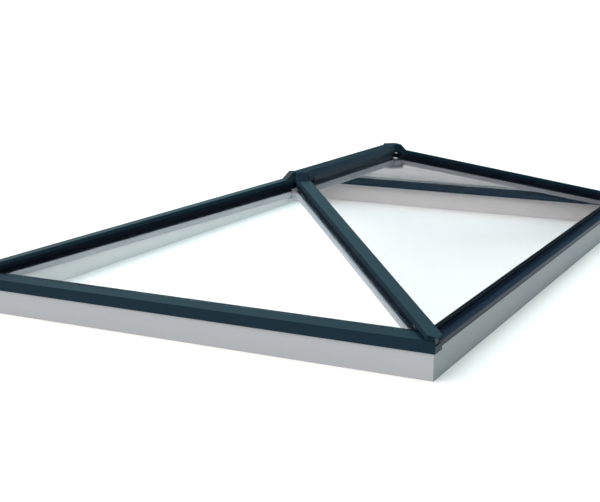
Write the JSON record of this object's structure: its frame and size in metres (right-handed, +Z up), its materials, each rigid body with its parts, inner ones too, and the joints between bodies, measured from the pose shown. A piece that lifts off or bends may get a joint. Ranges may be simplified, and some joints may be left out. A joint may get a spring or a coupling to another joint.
{
  "type": "roof lantern",
  "caption": "Rectangular pitched roof lantern with glazed sloping sides, hips and a ridge, on a low kerb.",
  "frame": {"origin": "middle of the kerb's underside", "axes": "+X along the ridge, from the front end to the back end; +Y across to the left side; +Z up"},
  "size_m": [3.11, 2.04, 0.5077],
  "materials": {
    "kerb": "light grey moulded upstand, satin",
    "dark_frame": "anthracite powder coat, satin",
    "dark_cover": "anthracite powder coat, satin",
    "white_frame": "white powder coat, satin",
    "plain_aluminium": "mill finish",
    "clear_glass": "clear float, coated",
    "black_spacer": "black warm-edge spacer and sealant",
    "black_rubber": "matt black gasket",
    "black_plastic": "matt black moulding",
    "dark_screw": "painted head",
    "steel_screw": "stainless"
  },
  "bodies": {
    "root": {"apex_boss_back": "white_frame", "apex_boss_front": "white_frame", "apex_connector_back": "plain_aluminium", "apex_connector_front": "plain_aluminium", "apex_cover_back": "dark_cover", "apex_cover_front": "dark_cover", "bedding_seals": "black_rubber", "clamp_screws": "steel_screw", "corner_cleats": "plain_aluminium", "eaves_beam_back": "dark_frame", "eaves_beam_front": "dark_frame", "eaves_beam_left": "dark_frame", "eaves_beam_right": "dark_frame", "eaves_gasket_back": "black_rubber", "eaves_gasket_front": "black_rubber", "eaves_gasket_left": "black_rubber", "eaves_gasket_right": "black_rubber", "edge_spacer_back": "black_spacer", "edge_spacer_front": "black_spacer", "edge_spacer_left": "black_spacer", "edge_spacer_right": "black_spacer", "end_fascia_back": "dark_cover", "end_fascia_front": "dark_cover", "fascia_screws": "dark_screw", "hip_bar_back_left": "white_frame", "hip_bar_back_right": "white_frame", "hip_bar_front_left": "white_frame", "hip_bar_front_right": "white_frame", "hip_cap_back_left": "dark_cover", "hip_cap_back_right": "dark_cover", "hip_cap_front_left": "dark_cover", "hip_cap_front_right": "dark_cover", "hip_end_plugs": "black_plastic", "hip_gaskets_back_left": "black_rubber", "hip_gaskets_back_right": "black_rubber", "hip_gaskets_front_left": "black_rubber", "hip_gaskets_front_right": "black_rubber", "hip_pressure_plate_back_left": "plain_aluminium", "hip_pressure_plate_back_right": "plain_aluminium", "hip_pressure_plate_front_left": "plain_aluminium", "hip_pressure_plate_front_right": "plain_aluminium", "hip_thermal_breaks": "black_plastic", "inner_pane_back": "clear_glass", "inner_pane_front": "clear_glass", "inner_pane_left": "clear_glass", "inner_pane_right": "clear_glass", "kerb_board_back": "kerb", "kerb_board_front": "kerb", "kerb_board_left": "kerb", "kerb_board_right": "kerb", "outer_pane_back": "clear_glass", "outer_pane_front": "clear_glass", "outer_pane_left": "clear_glass", "outer_pane_right": "clear_glass", "ridge_bar": "white_frame", "ridge_cap": "dark_cover", "ridge_gaskets": "black_rubber", "ridge_pressure_plate": "plain_aluminium", "ridge_thermal_break": "black_plastic"}
  },
  "joints": []
}
